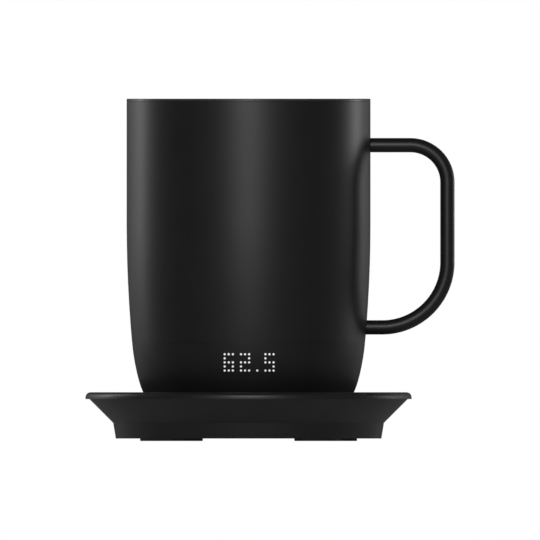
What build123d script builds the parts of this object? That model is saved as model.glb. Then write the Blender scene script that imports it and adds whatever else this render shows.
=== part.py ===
from build123d import *
import os
from math import asin, cos, radians, sin, sqrt, tan

# A self-heating mug standing on its charging coaster.
# All lengths are in millimetres.  The table is at height zero, the handle points to +X and
# the display faces -Y.  The origin lies in the middle of the footprint.

os.makedirs("parts", exist_ok=True)

# Clearances shared by several pieces
running_gap = 0.1
loose_gap = 0.3
bond_gap = 0.05
cut_overrun = 5.0

# Coaster outline
coaster_rim_radius = 56.85
coaster_height = 17.0
foot_standoff = 0.85
lip_overhang = 1.35
knee_rise = 5.45
skirt_draft = 0.9
flare_angle = 45.0
lip_height = 2.4
lip_round = 1.8
lip_inner_round = 0.5
tray_wall = 2.3
tray_floor_thickness = 1.8
dish_depth = 7.8
skirt_wall = 2.3

# Contact island and sprung pins
island_radius = 20.0
island_rise = 0.6
island_round = 0.3
pin_barrel_radius = 1.6
pin_bore_radius = 1.2
pin_cap_thickness = 0.4
pin_base_thickness = 0.5
plunger_radius = 0.85
plunger_collar_radius = 1.1
plunger_collar_height = 0.8
plunger_tip_gap = 0.1
plunger_tip_round = 0.4
spring_wire_radius = 0.12
spring_coil_radius = 0.85
spring_turns = 6

# Coaster base, feet and screws
base_plate_thickness = 1.8
foot_inset = 7.5
foot_pad_length = 17.1
foot_pad_width = 6.1
foot_pad_corner = 0.35
foot_pad_edge_round = 0.3
foot_pocket_depth = 1.0
foot_count = 4
foot_start_angle = 38.9
coaster_boss_radius = 3.4
coaster_boss_height = 1.35
coaster_screw_radius = 1.2
coaster_screw_head_radius = 2.2
coaster_screw_head_height = 1.2
coaster_screw_length = 5.0

# Coaster circuit board and supply socket
coaster_board_radius = 24.0
coaster_board_thickness = 1.0
coaster_board_standoff = 0.55
board_post_radius = 2.2
board_post_circle_radius = 20.0
board_post_count = 3
board_post_start_angle = 30.0
board_tongue_width = 18.0
board_tongue_clearance = 1.4
socket_width = 8.94
socket_height = 3.26
socket_wall = 0.3
socket_length = 7.3
socket_centre_rise = 4.15
socket_mouth_setback = 0.4
socket_tongue_width = 6.7
socket_tongue_thickness = 0.7
socket_tongue_setback = 1.0
socket_back_thickness = 0.8
port_width = 11.0
port_height = 4.4
port_corner = 1.0
inductor_size = 6.0
inductor_height = 2.4
regulator_size = 4.0
regulator_height = 1.0
coaster_part_offset = 13.0

# Mug outline, heights measured from where the mug stands
mug_diameter = 85.0
mug_height = 110.1
seam_height = 24.9
belly_start_height = 66.3
belly_arc_radius = 450.0
lower_arc_radius = 76.0
lower_arc_end_height = 12.1
foot_arc_radius = 30.0
seam_gap = 0.1

# Steel cup and outer shell
shell_wall = 0.8
cup_wall = 0.8
cup_gap = 2.2
cup_floor_height = 26.0
cup_corner_radius = 18.0
rim_thickness = 0.8
rim_outer_round = 0.35
rim_inner_round = 0.7
shell_top_chamfer = 0.12
flange_width = 8.0

# Handle
handle_bar_diameter = 5.0
handle_reach = 69.3
handle_top_drop = 16.2
handle_bottom_height = 30.4
handle_top_bend = 12.9
handle_bottom_bend = 22.7
handle_screw_radius = 1.45
handle_screw_head_radius = 2.75
handle_screw_head_height = 1.0
handle_screw_length = 8.0
handle_hole_extra = 1.0
saddle_thickness = 0.6
saddle_width = 9.0
saddle_height = 6.4

# Heater, sensor and insulation
heater_disc_radius = 20.0
heater_disc_thickness = 0.6
heater_hole_radius = 2.2
sensor_radius = 1.6
heater_band_thickness = 0.3
heater_band_drop = 22.3
heater_band_height = 24.0
sleeve_thickness = 0.9
sleeve_top_drop = 7.0
insulation_disc_thickness = 1.2
insulation_disc_drop = 2.0

# Joint between the steel body and the plastic base
ring_thickness = 1.2
ring_edge_gap = 0.6
ring_boss_radius = 2.3
ring_boss_height = 4.0
base_screw_inset = 5.2
base_screw_count = 4
base_screw_start_angle = 45.0
base_screw_radius = 1.0
base_screw_head_radius = 1.9
base_screw_head_height = 1.3
ledge_thickness = 2.2
gasket_inset = 1.4
gasket_width = 1.8
gasket_groove_depth = 0.8

# Plastic base shell and its cover
base_wall = 2.0
shell_base_rise = 0.7
cover_inset = 3.3
cover_thickness = 3.0
cover_recess_inset = 8.0
cover_recess_depth = 0.9
shoulder_width = 1.2
shoulder_thickness = 1.2
cover_seal_width = 0.95
cover_seal_height = 1.0
cover_screw_count = 3
cover_screw_start_angle = 0.0
cover_screw_radius = 1.0
cover_screw_head_radius = 1.7
cover_screw_head_height = 1.1
cover_screw_length = 5.5
foot_ring_inset = 1.4
foot_ring_width = 4.4
foot_ring_groove_depth = 0.8
foot_ring_edge_round = 0.3
contact_disc_radius = 4.0
contact_ring_inner_radius = 10.0
contact_ring_outer_radius = 13.5
contact_thickness = 0.5
contact_stem_radius = 0.8

# Power button and its switch
button_inset = 3.8
button_radius = 2.6
button_side_gap = 0.15
button_flange_radius = 3.4
button_flange_thickness = 0.5
button_edge_round = 0.4
switch_size = 4.5
switch_body_height = 1.0
switch_nub_radius = 1.2
switch_nub_height = 0.25

# Main circuit board
board_thickness = 1.2
board_clearance = 2.1
chip_size = 5.0
chip_height = 1.1
chip_inset = 5.3
chip_count = 4
chip_start_angle = 45.0
board_screw_inset = 2.4
board_screw_count = 3
board_screw_start_angle = 0.0
board_screw_radius = 0.8
board_screw_head_radius = 1.5
board_screw_head_height = 0.6
board_screw_length = 2.7
board_screw_boss_radius = 1.9

# Battery and chassis
cell_diameter = 14.0
cell_length = 50.0
cell_count = 3
cell_pitch = 14.3
cell_nub_radius = 2.5
cell_nub_height = 0.6
tab_thickness = 0.2
tab_width = 6.0
tail_width = 3.0
tail_y = 7.15
tail_end_x = 19.5
chassis_floor_thickness = 1.2
chassis_floor_gap = 1.2
chassis_trough_depth = 0.6
chassis_wall = 1.4
chassis_top_thickness = 1.2
chassis_plate_inset = 3.4
chassis_floor_inset = 7.2
chassis_post_radius = 2.2
notch_start_y = 24.5
notch_width = 26.4
floor_notch_width = 19.0

# Display in the front of the base shell
display_height = 18.2
dot_pitch = 1.42
dot_diameter = 0.78
dot_side_shift = 0.2
dot_side_gap = 0.04
display_board_y = 32.0
display_board_thickness = 1.0
display_board_width = 25.0
display_board_height = 8.6
led_size = 0.8
led_height = 0.5
guide_width = 22.0
guide_block_height = 8.4
stake_offset = 10.2
stake_radius = 0.6
stake_stand_out = 0.4
ribbon_width = 6.0
ribbon_thickness = 0.2
ribbon_bend = 1.2
ribbon_top_drop = 3.0
ribbon_end_y = 18.5
lead_radius = 0.45
lead_spacing = 14.0
lead_start_y = 15.0
lead_drop_y = 26.5
lead_end_y = 20.2
lead_bend = 2.5

# Lit dots of the reading, one string per row and one character per column
reading = (
    "###.###...###",
    "#.....#...#..",
    "###.###...###",
    "#.#.#.......#",
    "###.###.#.###",
)

# Heights worked out from the values above
coaster_underside = foot_standoff
coaster_rim = coaster_height
lip_bottom = coaster_rim - lip_height
knee_height = coaster_underside + knee_rise
flare = tan(radians(flare_angle))
flare_top_radius = coaster_rim_radius - lip_overhang
knee_radius = flare_top_radius - (lip_bottom - knee_height) * flare
coaster_bottom_radius = knee_radius - skirt_draft
cavity_radius = coaster_bottom_radius - skirt_wall
foot_circle_radius = coaster_bottom_radius - foot_inset
dish_floor = coaster_rim - dish_depth
island_top = dish_floor + island_rise
tray_ceiling = dish_floor - tray_floor_thickness
base_plate_top = coaster_underside + base_plate_thickness
coaster_board_bottom = base_plate_top + coaster_board_standoff
coaster_board_top = coaster_board_bottom + coaster_board_thickness
foot_pocket_top = coaster_underside + foot_pocket_depth
coaster_boss_top = base_plate_top + coaster_boss_height
coaster_screw_end = foot_pocket_top + coaster_screw_head_height + coaster_screw_length

mug_bottom = dish_floor
rim_top = mug_bottom + mug_height
wall_radius = mug_diameter / 2
rim_bottom = rim_top - rim_thickness
belly_start = mug_bottom + belly_start_height
seam = mug_bottom + seam_height
shell_bottom = seam + seam_gap / 2
shell_base_top = seam - seam_gap / 2
lower_arc_end = mug_bottom + lower_arc_end_height
base_underside = mug_bottom + shell_base_rise
contact_face = base_underside + cover_recess_depth
cover_top = base_underside + cover_thickness
flange_top = shell_bottom + shell_wall
cup_outer_radius = wall_radius - shell_wall - cup_gap
cup_inner_radius = cup_outer_radius - cup_wall
cup_floor_bottom = mug_bottom + cup_floor_height
ledge_bottom = shell_base_top - ledge_thickness
board_bottom = cover_top + board_clearance
board_top = board_bottom + board_thickness
chassis_floor_bottom = board_top + chassis_floor_gap
chassis_floor_top = chassis_floor_bottom + chassis_floor_thickness
cell_radius = cell_diameter / 2
cell_centre_height = chassis_floor_top - chassis_trough_depth + cell_radius
chassis_top_bottom = ledge_bottom - chassis_top_thickness
foot_groove_top = base_underside + foot_ring_groove_depth
cover_screw_end = foot_groove_top + cover_screw_head_height + cover_screw_length
heater_bottom = cup_floor_bottom - heater_disc_thickness
insulation_top = cup_floor_bottom - insulation_disc_drop
display_centre = mug_bottom + display_height
socket_centre_height = coaster_underside + socket_centre_rise

# The mug's axis stands beside the origin, which is half way between the coaster's far edge
# and the outside of the handle.  Each plane below holds that axis or stands square to it.
axis_x = (coaster_rim_radius - handle_reach - handle_bar_diameter / 2) / 2
mug_axis = Axis((axis_x, 0, 0), (0, 0, 1))
ground = Plane((axis_x, 0, 0))
section = Plane((axis_x, 0, 0), x_dir=(1, 0, 0), z_dir=(0, -1, 0))
across = Plane((axis_x, 0, 0), x_dir=(0, 1, 0), z_dir=(1, 0, 0))

# Centres of the three arcs that make the outside of the mug below its straight wall.
# Each arc starts where the one above it ends, in the same direction.
belly_angle = asin((belly_start - seam) / belly_arc_radius)
belly_centre = (wall_radius - belly_arc_radius, belly_start)
lower_centre = (
    belly_centre[0] + (belly_arc_radius - lower_arc_radius) * cos(belly_angle),
    belly_centre[1] - (belly_arc_radius - lower_arc_radius) * sin(belly_angle),
)
lower_angle = asin((lower_centre[1] - lower_arc_end) / lower_arc_radius)
foot_centre = (
    lower_centre[0] + (lower_arc_radius - foot_arc_radius) * cos(lower_angle),
    lower_centre[1] - (lower_arc_radius - foot_arc_radius) * sin(lower_angle),
)


def outline_zones(inset):
    """Low end, high end, centre and radius of each arc of the outside, moved inward by inset."""
    heel = foot_centre[1] - (foot_arc_radius - inset) * sin(lower_angle)
    waist = lower_centre[1] - (lower_arc_radius - inset) * sin(belly_angle)
    return (
        (mug_bottom, heel, foot_centre, foot_arc_radius - inset),
        (heel, waist, lower_centre, lower_arc_radius - inset),
        (waist, belly_start, belly_centre, belly_arc_radius - inset),
    )


def wall_at(height, inset=0):
    """Radius of the mug's outside at a height, moved inward by inset."""
    for low, high, centre, radius in outline_zones(inset):
        if height <= high:
            return centre[0] + sqrt(radius**2 - (height - centre[1]) ** 2)
    return wall_radius - inset


def draw_wall(low, high, inset=0):
    """Draws the mug's outside between two heights, moved inward by inset, into the open line."""
    for zone_low, zone_high, _, _ in outline_zones(inset):
        start = max(low, zone_low)
        end = min(high, zone_high)
        if start < end:
            middle = (start + end) / 2
            ThreePointArc(
                (wall_at(start, inset), start),
                (wall_at(middle, inset), middle),
                (wall_at(end, inset), end),
            )
    if high > belly_start:
        Line((wall_radius - inset, max(low, belly_start)), (wall_radius - inset, high))


def polar_points(count, radius, start_angle):
    """Points spread evenly round the axis."""
    angles = [start_angle + 360 * step / count for step in range(count)]
    return [(radius * cos(radians(a)), radius * sin(radians(a))) for a in angles]


seam_radius = wall_at(seam)
flange_inner_radius = seam_radius - flange_width
insulation_disc_radius = flange_inner_radius - loose_gap
base_screw_circle_radius = seam_radius - base_screw_inset
gasket_outer_radius = seam_radius - gasket_inset
gasket_inner_radius = gasket_outer_radius - gasket_width
cover_radius = wall_at(base_underside) - cover_inset
foot_ring_outer_radius = cover_radius - foot_ring_inset
foot_ring_inner_radius = foot_ring_outer_radius - foot_ring_width
cover_screw_circle_radius = (foot_ring_outer_radius + foot_ring_inner_radius) / 2
board_radius = cover_screw_circle_radius - chassis_post_radius - loose_gap
board_screw_circle_radius = board_radius - board_screw_inset
button_offset = cover_radius - cover_recess_inset - button_inset

foot_points = polar_points(foot_count, foot_circle_radius, foot_start_angle)
board_post_points = polar_points(board_post_count, board_post_circle_radius, board_post_start_angle)
base_screw_points = polar_points(base_screw_count, base_screw_circle_radius, base_screw_start_angle)
cover_screw_points = polar_points(cover_screw_count, cover_screw_circle_radius, cover_screw_start_angle)
board_screw_points = polar_points(board_screw_count, board_screw_circle_radius, board_screw_start_angle)
chip_points = polar_points(chip_count, board_radius - chip_inset, chip_start_angle)
contact_middle_radius = (contact_ring_inner_radius + contact_ring_outer_radius) / 2
pin_points = {"centre": (0, 0), "ring": (contact_middle_radius, 0)}
ring_stem_points = polar_points(2, contact_middle_radius, 90)

middle_column = (len(reading[0]) - 1) / 2
middle_row = (len(reading) - 1) / 2
dot_points = [
    (
        dot_side_shift + (column - middle_column) * dot_pitch,
        display_centre + (middle_row - row) * dot_pitch,
    )
    for row, line in enumerate(reading)
    for column, mark in enumerate(line)
    if mark == "#"
]

# COASTER

# Tray: the flared dish that the mug stands in, with its skirt, island and screw bosses
flare_wall = tray_wall / sin(radians(flare_angle))
lip_inner_radius = knee_radius + (coaster_rim - knee_height) * flare - flare_wall
dish_radius = knee_radius + (dish_floor - knee_height) * flare - flare_wall
with BuildPart() as coaster_tray:
    with BuildSketch(section) as tray_section:
        with BuildLine():
            Polyline(
                (0, tray_ceiling),
                (cavity_radius, tray_ceiling),
                (cavity_radius, coaster_underside),
                (coaster_bottom_radius, coaster_underside),
                (knee_radius, knee_height),
                (flare_top_radius, lip_bottom),
                (coaster_rim_radius, lip_bottom),
                (coaster_rim_radius, coaster_rim),
                (lip_inner_radius, coaster_rim),
                (dish_radius, dish_floor),
                (island_radius, dish_floor),
                (island_radius, island_top),
                (0, island_top),
                (0, tray_ceiling),
            )
        make_face()
        lip_corners = tray_section.vertices().group_by(Axis.Y)[-1].sort_by(Axis.X)
        fillet(lip_corners[-1], radius=lip_round)
        fillet(lip_corners[0], radius=lip_inner_round)
    revolve(axis=mug_axis)
    island_edges = coaster_tray.edges().filter_by(GeomType.CIRCLE).filter_by(
        lambda edge: abs(edge.radius - island_radius) < bond_gap
    )
    fillet(island_edges.sort_by(Axis.Z)[-1], radius=island_round)
    with BuildSketch(ground.offset(tray_ceiling)):
        with Locations(*foot_points):
            Circle(coaster_boss_radius)
    extrude(amount=coaster_boss_top - tray_ceiling)
    with BuildSketch(ground.offset(tray_ceiling)):
        with Locations(*board_post_points):
            Circle(board_post_radius)
    extrude(amount=coaster_board_top - tray_ceiling)
    with BuildSketch(ground.offset(tray_ceiling)):
        with Locations(*pin_points.values()):
            Circle(pin_barrel_radius + bond_gap)
    extrude(amount=island_top - tray_ceiling, mode=Mode.SUBTRACT)
    with BuildSketch(ground.offset(coaster_boss_top)):
        with Locations(*foot_points):
            Circle(coaster_screw_radius + bond_gap)
    extrude(amount=coaster_screw_end + loose_gap - coaster_boss_top, mode=Mode.SUBTRACT)
    with BuildSketch(section.offset(-cavity_radius + skirt_wall)):
        with Locations((0, socket_centre_height)):
            RectangleRounded(port_width, port_height, port_corner)
    extrude(amount=-(skirt_wall * 2 + cut_overrun), mode=Mode.SUBTRACT)
coaster_tray.part.label = "coaster_tray"
export_step(coaster_tray.part, "parts/coaster_tray.step")

# Base plate: closes the coaster from below and carries the feet and the board
with BuildPart() as coaster_base:
    with BuildSketch(ground.offset(coaster_underside)):
        Circle(cavity_radius - running_gap)
    extrude(amount=base_plate_thickness)
    with BuildSketch(ground.offset(base_plate_top)):
        with Locations(*foot_points):
            Circle(coaster_boss_radius)
    extrude(amount=coaster_boss_height)
    with BuildSketch(ground.offset(base_plate_top)):
        with Locations(*board_post_points):
            Circle(board_post_radius)
    extrude(amount=coaster_board_standoff)
    with BuildSketch(ground.offset(coaster_underside)):
        with PolarLocations(foot_circle_radius, foot_count, foot_start_angle):
            RectangleRounded(
                foot_pad_width + 2 * running_gap,
                foot_pad_length + 2 * running_gap,
                foot_pad_corner + running_gap,
            )
    extrude(amount=foot_pocket_depth, mode=Mode.SUBTRACT)
    with BuildSketch(ground.offset(foot_pocket_top)):
        with Locations(*foot_points):
            Circle(coaster_screw_head_radius + running_gap)
    extrude(amount=coaster_screw_head_height, mode=Mode.SUBTRACT)
    with BuildSketch(ground.offset(foot_pocket_top)):
        with Locations(*foot_points):
            Circle(coaster_screw_radius + running_gap)
    extrude(amount=cut_overrun, mode=Mode.SUBTRACT)
coaster_base.part.label = "coaster_base"
export_step(coaster_base.part, "parts/coaster_base.step")

# Four rubber pads, set along the circle, that cover the screws
with BuildPart() as rubber_feet:
    with BuildSketch(ground):
        with PolarLocations(foot_circle_radius, foot_count, foot_start_angle):
            RectangleRounded(foot_pad_width, foot_pad_length, foot_pad_corner)
    extrude(amount=foot_pocket_top)
    fillet(rubber_feet.edges().group_by(Axis.Z)[0], radius=foot_pad_edge_round)
rubber_feet.part.label = "rubber_feet"
export_step(rubber_feet.part, "parts/rubber_feet.step")


def make_screws(points, head_low, head_radius, head_height, shank_radius, length):
    """Screws put in from below: a head with a six-sided recess and a plain shank above it."""
    with BuildPart() as screws:
        with BuildSketch(ground.offset(head_low)):
            with Locations(*points):
                Circle(head_radius)
        extrude(amount=head_height)
        with BuildSketch(ground.offset(head_low + head_height)):
            with Locations(*points):
                Circle(shank_radius)
        extrude(amount=length)
        with BuildSketch(ground.offset(head_low)):
            with Locations(*points):
                RegularPolygon(head_radius / 2, 6)
        extrude(amount=head_height / 2, mode=Mode.SUBTRACT)
    return screws


coaster_screws = make_screws(
    foot_points,
    foot_pocket_top,
    coaster_screw_head_radius,
    coaster_screw_head_height,
    coaster_screw_radius,
    coaster_screw_length,
)
coaster_screws.part.label = "coaster_screws"
export_step(coaster_screws.part, "parts/coaster_screws.step")

# Charging board: a disc with a tongue that reaches the supply socket at the back
socket_slot_width = socket_width + 2 * loose_gap
socket_back_y = coaster_bottom_radius - socket_mouth_setback - socket_length
board_tongue_reach = cavity_radius - board_tongue_clearance
with BuildPart() as coaster_board:
    with BuildSketch(ground.offset(coaster_board_bottom)):
        Circle(coaster_board_radius)
        with Locations((0, board_tongue_reach / 2)):
            Rectangle(board_tongue_width, board_tongue_reach)
        with Locations((0, board_tongue_reach)):
            Rectangle(
                socket_slot_width,
                2 * (board_tongue_reach - socket_back_y + loose_gap),
                mode=Mode.SUBTRACT,
            )
    extrude(amount=coaster_board_thickness)
coaster_board.part.label = "coaster_board"
export_step(coaster_board.part, "parts/coaster_board.step")

# Power parts on the charging board: a coil in its block and two flat packages
with BuildPart() as coaster_board_parts:
    with BuildSketch(ground.offset(coaster_board_top)):
        with Locations((0, coaster_part_offset)):
            Rectangle(inductor_size, inductor_size)
    extrude(amount=inductor_height)
    with BuildSketch(ground.offset(coaster_board_top)):
        with Locations((-coaster_part_offset, 0), (0, -coaster_part_offset)):
            Rectangle(regulator_size, regulator_size)
    extrude(amount=regulator_height)
coaster_board_parts.part.label = "coaster_board_parts"
export_step(coaster_board_parts.part, "parts/coaster_board_parts.step")

# Supply socket: an oval metal shell with a contact tongue inside it
with BuildPart() as socket_shell:
    with BuildSketch(section.offset(-socket_back_y)):
        with Locations((0, socket_centre_height)):
            SlotOverall(socket_width, socket_height)
            SlotOverall(
                socket_width - 2 * socket_wall, socket_height - 2 * socket_wall, mode=Mode.SUBTRACT
            )
    extrude(amount=-socket_length)
socket_shell.part.label = "socket_shell"
export_step(socket_shell.part, "parts/socket_shell.step")

with BuildPart() as socket_tongue:
    with BuildSketch(section.offset(-socket_back_y)):
        with Locations((0, socket_centre_height)):
            SlotOverall(
                socket_width - 2 * (socket_wall + bond_gap),
                socket_height - 2 * (socket_wall + bond_gap),
            )
    extrude(amount=-socket_back_thickness)
    with BuildSketch(section.offset(-socket_back_y - socket_back_thickness)):
        with Locations((0, socket_centre_height)):
            Rectangle(socket_tongue_width, socket_tongue_thickness)
    extrude(amount=-(socket_length - socket_back_thickness - socket_tongue_setback))
socket_tongue.part.label = "socket_tongue"
export_step(socket_tongue.part, "parts/socket_tongue.step")

# Sprung charging pins: a barrel soldered to the board, with a plunger and a coil spring in it
pin_bore_bottom = coaster_board_top + pin_base_thickness
pin_cap_bottom = island_top - pin_cap_thickness
plunger_tip = contact_face - plunger_tip_gap
spring_top = pin_cap_bottom - plunger_collar_height - bond_gap
with BuildPart() as pin_barrels:
    for point in pin_points.values():
        with BuildSketch(ground.offset(coaster_board_top)):
            with Locations(point):
                Circle(pin_barrel_radius)
        extrude(amount=island_top - coaster_board_top)
        with BuildSketch(ground.offset(pin_bore_bottom)):
            with Locations(point):
                Circle(pin_bore_radius)
        extrude(amount=pin_cap_bottom - pin_bore_bottom, mode=Mode.SUBTRACT)
        with BuildSketch(ground.offset(pin_cap_bottom)):
            with Locations(point):
                Circle(plunger_radius + bond_gap)
        extrude(amount=pin_cap_thickness, mode=Mode.SUBTRACT)
pin_barrels.part.label = "pin_barrels"
export_step(pin_barrels.part, "parts/pin_barrels.step")

for pin_name, point in pin_points.items():
    with BuildPart() as plunger:
        with BuildSketch(ground.offset(pin_cap_bottom)):
            with Locations(point):
                Circle(plunger_collar_radius)
        extrude(amount=-plunger_collar_height)
        with BuildSketch(ground.offset(pin_cap_bottom)):
            with Locations(point):
                Circle(plunger_radius)
        extrude(amount=plunger_tip - pin_cap_bottom)
        fillet(plunger.edges().group_by(Axis.Z)[-1], radius=plunger_tip_round)
    plunger.part.label = f"{pin_name}_pin_plunger"
    export_step(plunger.part, f"parts/{pin_name}_pin_plunger.step")

    spring_low = pin_bore_bottom + spring_wire_radius + bond_gap
    spring_high = spring_top - spring_wire_radius - bond_gap
    spring_pitch = (spring_high - spring_low) / spring_turns
    with BuildPart() as spring:
        with BuildLine(Plane((axis_x + point[0], point[1], spring_low))) as coil:
            Helix(pitch=spring_pitch, height=spring_high - spring_low, radius=spring_coil_radius)
        with BuildSketch(Plane(coil.line @ 0, z_dir=coil.line % 0)):
            Circle(spring_wire_radius)
        sweep(path=coil.line, is_frenet=True)
    spring.part.label = f"{pin_name}_pin_spring"
    export_step(spring.part, f"parts/{pin_name}_pin_spring.step")

# MUG: STEEL BODY

# Inner cup: straight wall, deep rounded floor, and a rim that folds out over the shell
corner_centre = (cup_outer_radius - cup_corner_radius, cup_floor_bottom + cup_corner_radius)
with BuildPart() as inner_cup:
    with BuildSketch(section):
        with BuildLine():
            Line((0, cup_floor_bottom), (corner_centre[0], cup_floor_bottom))
            CenterArc(corner_centre, cup_corner_radius, 270, 90)
            Polyline(
                (cup_outer_radius, corner_centre[1]),
                (cup_outer_radius, rim_bottom),
                (wall_radius, rim_bottom),
                (wall_radius, rim_top),
                (cup_inner_radius, rim_top),
                (cup_inner_radius, corner_centre[1]),
            )
            CenterArc(corner_centre, cup_corner_radius - cup_wall, 270, 90)
            Polyline(
                (corner_centre[0], cup_floor_bottom + cup_wall),
                (0, cup_floor_bottom + cup_wall),
                (0, cup_floor_bottom),
            )
        make_face()
    revolve(axis=mug_axis)
    rim_edges = inner_cup.edges().filter_by(GeomType.CIRCLE).group_by(Axis.Z)[-1]
    fillet(rim_edges.sort_by(SortBy.RADIUS)[-1], radius=rim_outer_round)
    rim_edges = inner_cup.edges().filter_by(GeomType.CIRCLE).group_by(Axis.Z)[-1]
    fillet(rim_edges.sort_by(SortBy.RADIUS)[0], radius=rim_inner_round)
inner_cup.part.label = "inner_cup"
export_step(inner_cup.part, "parts/inner_cup.step")


def fill_outline(low, high, inset=0):
    """A solid that fills the mug's outline between two heights, moved inward by inset."""
    with BuildPart() as filling:
        with BuildSketch(section):
            with BuildLine():
                draw_wall(low, high, inset)
                Polyline((wall_at(low, inset), low), (0, low), (0, high), (wall_at(high, inset), high))
            make_face()
        revolve(axis=mug_axis)
    return filling.part


mug_volume = fill_outline(mug_bottom, rim_top)

handle_top = rim_top - handle_top_drop
handle_bottom = mug_bottom + handle_bottom_height
handle_leg_heights = (handle_top, handle_bottom)
handle_screw_points = [(0, height) for height in handle_leg_heights]

# Outer shell: the black steel wall, turned in at its lower edge to make a flange
with BuildPart() as outer_shell:
    with BuildSketch(section) as shell_section:
        with BuildLine():
            draw_wall(shell_bottom, rim_bottom)
            draw_wall(flange_top, rim_bottom, shell_wall)
            Line((wall_radius, rim_bottom), (wall_radius - shell_wall, rim_bottom))
            Polyline(
                (wall_at(shell_bottom), shell_bottom),
                (flange_inner_radius, shell_bottom),
                (flange_inner_radius, flange_top),
                (wall_at(flange_top, shell_wall), flange_top),
            )
        make_face()
        shell_corners = shell_section.vertices().group_by(Axis.Y)[-1].sort_by(Axis.X)
        chamfer(shell_corners[-1], length=shell_top_chamfer)
    revolve(axis=mug_axis)
    with BuildSketch(across):
        with Locations(*handle_screw_points):
            Circle(handle_screw_radius + running_gap)
    extrude(amount=wall_radius + cut_overrun, mode=Mode.SUBTRACT)
    with BuildSketch(ground.offset(shell_bottom)):
        with Locations(*base_screw_points):
            Circle(base_screw_radius + running_gap)
    extrude(amount=shell_wall, mode=Mode.SUBTRACT)
outer_shell.part.label = "outer_shell"
export_step(outer_shell.part, "parts/outer_shell.step")

# Handle: one bent round bar whose ends fit the wall and are tapped for the screws
with BuildPart() as handle:
    with BuildLine(section) as handle_path:
        FilletPolyline(
            (cup_outer_radius, handle_top),
            (handle_reach, handle_top),
            (handle_reach, handle_bottom),
            (cup_outer_radius - cup_wall, handle_bottom),
            radius=[handle_top_bend, min(handle_bottom_bend, handle_reach - cup_outer_radius)],
        )
    with BuildSketch(Plane(handle_path.line @ 0, z_dir=handle_path.line % 0)):
        Circle(handle_bar_diameter / 2)
    sweep(path=handle_path.line)
    add(mug_volume, mode=Mode.SUBTRACT)
    with BuildSketch(across):
        with Locations(*handle_screw_points):
            Circle(handle_screw_radius + bond_gap)
    extrude(amount=wall_radius + handle_screw_length + handle_hole_extra, mode=Mode.SUBTRACT)
handle.part.label = "handle"
export_step(handle.part, "parts/handle.step")

# Saddle plates: curved washers inside the shell, behind the handle's two screws
with BuildPart() as handle_saddles:
    saddle_inset = shell_wall + bond_gap
    for height in handle_leg_heights:
        low = height - saddle_height / 2
        high = height + saddle_height / 2
        with BuildSketch(section):
            with BuildLine():
                draw_wall(low, high, saddle_inset)
                draw_wall(low, high, saddle_inset + saddle_thickness)
                for edge_height in (low, high):
                    Line(
                        (wall_at(edge_height, saddle_inset), edge_height),
                        (wall_at(edge_height, saddle_inset + saddle_thickness), edge_height),
                    )
            make_face()
        revolve(axis=mug_axis)
    with BuildSketch(ground):
        with Locations((wall_radius, 0)):
            Rectangle(wall_radius, saddle_width)
    extrude(amount=rim_top, mode=Mode.INTERSECT)
    with BuildSketch(across):
        with Locations(*handle_screw_points):
            Circle(handle_screw_radius + running_gap)
    extrude(amount=wall_radius, mode=Mode.SUBTRACT)
handle_saddles.part.label = "handle_saddles"
export_step(handle_saddles.part, "parts/handle_saddles.step")

# Handle screws: low heads that seat by their edges in the hollow of the saddle plates
with BuildPart() as handle_screws:
    for height in handle_leg_heights:
        saddle_face = wall_at(height - handle_screw_head_radius, saddle_inset + saddle_thickness)
        seat = sqrt(saddle_face**2 - handle_screw_head_radius**2) - bond_gap
        with BuildSketch(across.offset(seat)):
            with Locations((0, height)):
                Circle(handle_screw_head_radius)
        extrude(amount=-handle_screw_head_height)
        with BuildSketch(across.offset(seat)):
            with Locations((0, height)):
                Circle(handle_screw_radius)
        extrude(amount=handle_screw_length)
        with BuildSketch(across.offset(seat - handle_screw_head_height)):
            with Locations((0, height)):
                RegularPolygon(handle_screw_head_radius / 2, 6)
        extrude(amount=handle_screw_head_height / 2, mode=Mode.SUBTRACT)
handle_screws.part.label = "handle_screws"
export_step(handle_screws.part, "parts/handle_screws.step")

# Heating film under the cup's floor, with a hole for the temperature sensor
with BuildPart() as heater_disc:
    with BuildSketch(ground.offset(heater_bottom)):
        Circle(heater_disc_radius)
        Circle(heater_hole_radius, mode=Mode.SUBTRACT)
    extrude(amount=heater_disc_thickness)
heater_disc.part.label = "heater_disc"
export_step(heater_disc.part, "parts/heater_disc.step")

# Temperature sensor: a bead pressed against the floor by the insulation under it
with BuildPart() as temperature_sensor:
    with BuildSketch(ground.offset(insulation_top)):
        Circle(sensor_radius)
    extrude(amount=cup_floor_bottom - insulation_top)
temperature_sensor.part.label = "temperature_sensor"
export_step(temperature_sensor.part, "parts/temperature_sensor.step")

# Heating film wrapped round the lower wall, and the felt sleeve over it
heater_band_low = max(belly_start - heater_band_drop, corner_centre[1])
heater_band_inner = cup_outer_radius + bond_gap
heater_band_outer = heater_band_inner + heater_band_thickness
with BuildPart() as heater_band:
    with BuildSketch(ground.offset(heater_band_low)):
        Circle(heater_band_outer)
        Circle(heater_band_inner, mode=Mode.SUBTRACT)
    extrude(amount=heater_band_height)
heater_band.part.label = "heater_band"
export_step(heater_band.part, "parts/heater_band.step")

sleeve_inner = heater_band_outer + bond_gap
with BuildPart() as insulation_sleeve:
    with BuildSketch(ground.offset(heater_band_low)):
        Circle(sleeve_inner + sleeve_thickness)
        Circle(sleeve_inner, mode=Mode.SUBTRACT)
    extrude(amount=handle_top - sleeve_top_drop - heater_band_low)
insulation_sleeve.part.label = "insulation_sleeve"
export_step(insulation_sleeve.part, "parts/insulation_sleeve.step")

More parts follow.
